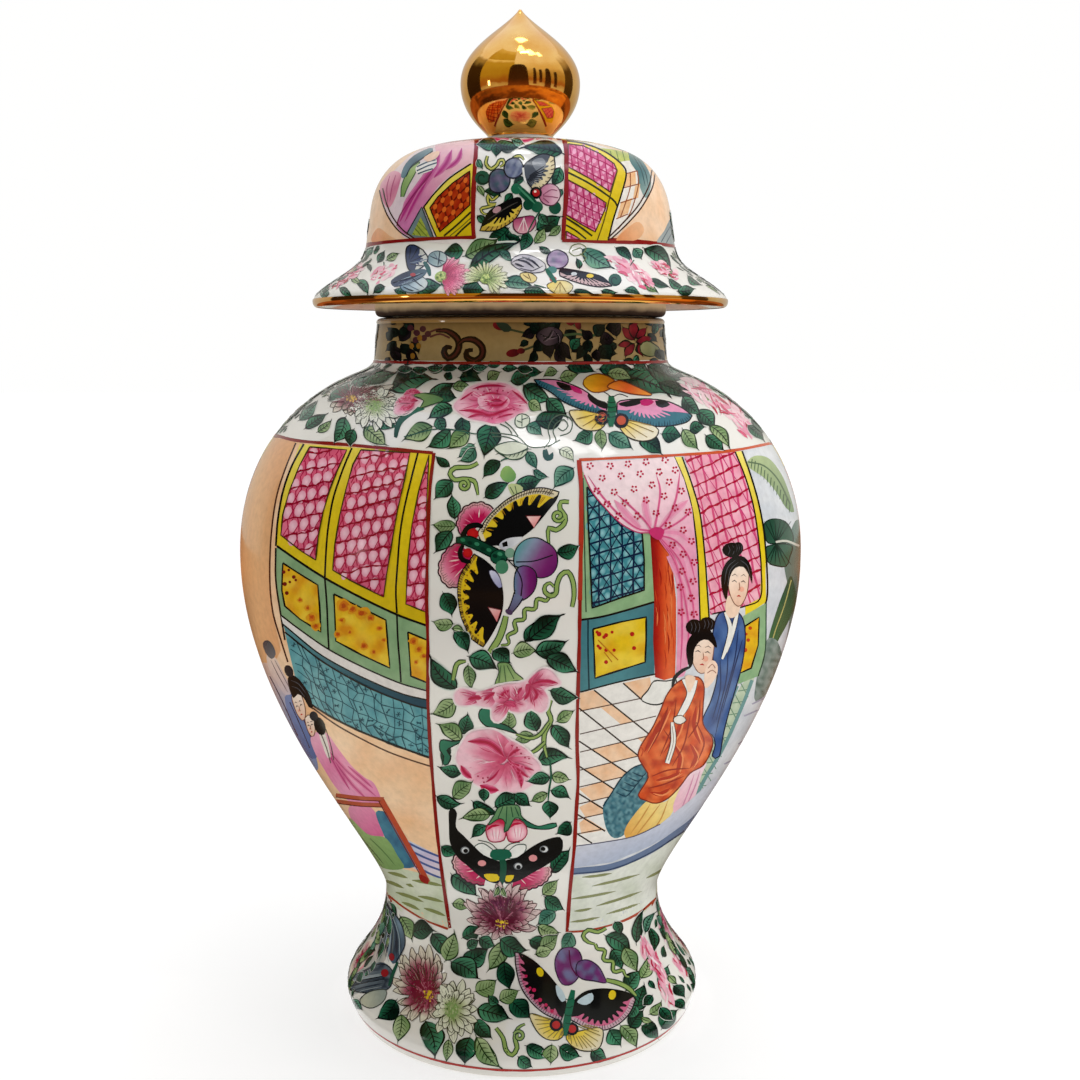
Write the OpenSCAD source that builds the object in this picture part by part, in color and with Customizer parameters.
// Covered porcelain jar: a waisted baluster body, a brimmed domed lid and an
// onion-shaped knob.  Millimetres, +Z up, origin on the axis at the foot's
// resting plane.  All profiles are turned about +Z.

/* [Foot] */
// Radius of the flat ring the jar stands on, outer edge
foot_ring_r = 62.4; // [50:0.2:80]
// Radius of the flat ring the jar stands on, inner edge
foot_recess_r = 55.5; // [40:0.5:70]
// Depth of the recess under the base
foot_recess_h = 9; // [4:0.5:14]
// Largest radius of the flared foot
foot_r = 65.6; // [55:0.2:80]
// Height of the largest radius of the foot
foot_edge_z = 8; // [4:0.5:14]
// Height of the floor inside the jar
floor_z = 17; // [14:0.5:24]

/* [Body] */
// Outer radius of the waist
waist_r = 50.8; // [40:0.2:65]
// Height of the waist
waist_z = 45; // [30:0.5:60]
// Outer radius of the belly
belly_r = 99.6; // [80:0.2:120]
// Height of the belly's widest line
belly_z = 169.5; // [140:0.5:190]
// Outer radius where the shoulder starts to turn up into the neck
shoulder_r = 58; // [54:0.5:70]
// Height of that line
shoulder_z = 233; // [215:0.5:235]
// Thickness of the wall
wall = 5.2; // [3:0.1:8]

/* [Neck] */
// Outer radius at the foot of the neck
neck_r = 52; // [45:0.2:60]
// Outer radius just under the rim
rim_r = 50.8; // [44:0.2:60]
// Height of the foot of the neck
neck_z = 237; // [236:0.5:240]
// Height of the rim
rim_z = 251.6; // [245:0.2:260]
// Radius of the mouth
mouth_r = 46.2; // [40:0.2:50]

/* [Lid] */
// Gap between the rim and the lid's seat
seat_gap = 0.4; // [0.3:0.1:1]
// Outer radius of the seat ring
seat_r = 51; // [47:0.2:58]
// Outer radius of the brim
brim_r = 72.5; // [60:0.5:85]
// Outer radius of the dome above the brim
dome_r = 54; // [48:0.5:60]
// Height of the flat pad under the knob
pad_z = 313; // [305:0.5:320]
// Radius of the pad under the knob
pad_r = 12.6; // [11:0.2:16]
// Radius of the vent hole in the crown
vent_r = 2; // [1.5:0.1:4]

/* [Locating ring] */
// Outer radius of the locating ring
ring_r = 44.8; // [38:0.2:45.6]
// Inner radius of the locating ring
ring_bore_r = 40.6; // [34:0.2:42]
// Depth of the locating ring below the seat
ring_h = 13.5; // [8:0.5:20]

/* [Knob] */
// Radius of the knob's foot
knob_foot_r = 11.6; // [8:0.2:12.4]
// Largest radius of the knob
knob_r = 20.6; // [15:0.2:26]
// Height of the knob's largest radius
knob_mid_z = 331; // [322:0.5:340]
// Height of the knob's tip
tip_z = 356; // [345:0.5:365]
// Thickness of the knob's wall
knob_wall = 3.6; // [2.5:0.1:6]

/* [Hidden] */
$fn = 96;
white = [0.93, 0.93, 0.90];
gold = [0.83, 0.62, 0.24];
seat_z = rim_z + seat_gap;
in_waist = waist_r - wall;
in_belly = belly_r - wall;

// one cubic curve as n + 1 points
function curve(a, b, c, d, n) = [for (i = [0 : n])
    let (t = i / n, s = 1 - t)
    s * s * s * a + 3 * s * s * t * b + 3 * s * t * t * c + t * t * t * d];

// outer profile, bottom to top
function out_foot() = curve([foot_r, foot_edge_z], [foot_r + 2, foot_edge_z + 5],
    [waist_r, waist_z - 23.5], [waist_r, waist_z], 14);
function out_lower() = curve([waist_r, waist_z], [waist_r, waist_z + 16.5],
    [belly_r, belly_z - 57], [belly_r, belly_z], 28);
function out_upper() = curve([belly_r, belly_z], [belly_r, belly_z + 38.5],
    [shoulder_r + 18.6, shoulder_z - 7.5], [shoulder_r, shoulder_z], 22);
function out_cove() = curve([shoulder_r, shoulder_z], [shoulder_r - 3.5, shoulder_z + 1.4],
    [neck_r + 0.3, neck_z - 1.4], [neck_r, neck_z], 5);

// inner profile, top to bottom
function in_cove() = curve([mouth_r, neck_z], [mouth_r, neck_z - 3],
    [mouth_r + 2.8, neck_z - 5.8], [shoulder_r - 3, shoulder_z - 4.8], 5);
function in_upper() = curve([shoulder_r - 3, shoulder_z - 4.8], [shoulder_r + 15.5, shoulder_z - 12.5],
    [in_belly, belly_z + 35.5], [in_belly, belly_z], 20);
function in_lower() = curve([in_belly, belly_z], [in_belly, belly_z - 56],
    [in_waist, waist_z + 17.5], [in_waist, waist_z], 24);
function in_foot() = curve([in_waist, waist_z - 20], [in_waist, floor_z + 3],
    [in_waist - 2.5, floor_z], [in_waist - 8, floor_z], 6);

// lid profiles
function lid_flare() = curve([brim_r - 0.9, 259.6], [brim_r - 11.3, 268],
    [dome_r + 1, 268.5], [dome_r, 276.7], 14);
function lid_crown() = curve([dome_r - 1.6, 287.5], [dome_r - 2.7, 296.5],
    [dome_r - 7.5, 306.2], [33, 309], 14);
function lid_top() = curve([33, 309], [26, 310.5], [19, 311.2], [pad_r + 0.4, 311.4], 5);
function lid_inner() = curve([30, 303.6], [dome_r - 11, 301.4],
    [dome_r - 7.2, 293], [dome_r - 6.4, 284], 12);
function lid_hollow() = curve([dome_r - 6.4, 284], [dome_r - 5.6, 274],
    [dome_r - 6, 266], [ring_r + 0.7, 260], 8);

// knob profiles
function knob_low() = curve([knob_foot_r, pad_z], [knob_foot_r - 2.4, pad_z + 0.8],
    [knob_r, knob_mid_z - 12], [knob_r, knob_mid_z], 12);
function knob_high() = curve([knob_r, knob_mid_z], [knob_r, knob_mid_z + 11.4],
    [7.6, tip_z - 8], [0, tip_z], 14);
function knob_in_high() = curve([0, tip_z - 9], [6, tip_z - 13],
    [knob_r - knob_wall, knob_mid_z + 8], [knob_r - knob_wall, knob_mid_z], 8);
function knob_in_low() = curve([knob_r - knob_wall, knob_mid_z], [knob_r - knob_wall, knob_mid_z - 8],
    [8, pad_z + 4], [vent_r, pad_z + 4], 8);

// flared foot with the floor of the jar, recessed underneath
module foot_pedestal() color(white)
    rotate_extrude() polygon(concat(
        [[0, foot_recess_h], [foot_recess_r - 1, foot_recess_h],
         [foot_recess_r, foot_recess_h - 1.5], [foot_recess_r, 0.6],
         [foot_recess_r + 0.6, 0], [foot_ring_r, 0], [foot_ring_r + 1.3, 2.2],
         [foot_r - 0.3, 5.4]],
        out_foot(), [[in_waist, waist_z]], in_foot(), [[0, floor_z]]));

// lower half of the belly, from the waist seam to the widest line
module lower_body() color(white)
    rotate_extrude() polygon(concat(out_lower(), in_lower()));

// upper half of the belly and the shoulder
module upper_body() color(white)
    rotate_extrude() polygon(concat(out_upper(),
        [for (i = [1 : 5]) out_cove()[i]],
        [for (i = [0 : 4]) in_cove()[i]], in_upper()));

// short tapered neck with a rounded rim
module neck_collar() color(white)
    rotate_extrude() polygon([[neck_r, neck_z], [rim_r, rim_z - 2],
        [rim_r - 0.4, rim_z - 0.7], [rim_r - 1.2, rim_z],
        [mouth_r + 1, rim_z], [mouth_r + 0.3, rim_z - 0.5],
        [mouth_r, rim_z - 1.4], [mouth_r, neck_z]]);

// hat-shaped lid: seat, brim, dome and the pad under the knob
module lid_dome() color(white)
    rotate_extrude() polygon(concat(
        [[ring_bore_r, seat_z], [seat_r, seat_z], [seat_r, 258.2],
         [seat_r + 0.5, 259.3], [seat_r + 1.7, 259.7], [brim_r - 3, 255.4],
         [brim_r - 1.4, 255.2], [brim_r - 0.4, 255.9], [brim_r, 257.1],
         [brim_r - 0.3, 258.5]],
        lid_flare(), lid_crown(), [for (i = [1 : 5]) lid_top()[i]],
        [[pad_r, pad_z - 0.8], [pad_r - 0.5, pad_z], [vent_r, pad_z], [vent_r, 305.8]],
        lid_inner(), [for (i = [1 : 8]) lid_hollow()[i]],
        [[ring_r, seat_z + 5], [ring_bore_r, seat_z + 5]]));

// locating ring under the lid, which drops into the mouth
module lid_flange() color(white)
    rotate_extrude() polygon([[ring_bore_r, seat_z], [ring_bore_r, seat_z - ring_h + 0.8],
        [ring_bore_r + 0.8, seat_z - ring_h], [ring_r - 1.2, seat_z - ring_h],
        [ring_r, seat_z - ring_h + 1.6], [ring_r, seat_z]]);

// hollow gilt knob with a vent in its foot
module finial() color(gold)
    rotate_extrude() polygon(concat([[vent_r, pad_z]], knob_low(),
        [for (i = [1 : 14]) knob_high()[i]], knob_in_high(),
        [for (i = [1 : 8]) knob_in_low()[i]]));

foot_pedestal();
lower_body();
upper_body();
neck_collar();
lid_dome();
lid_flange();
finial();
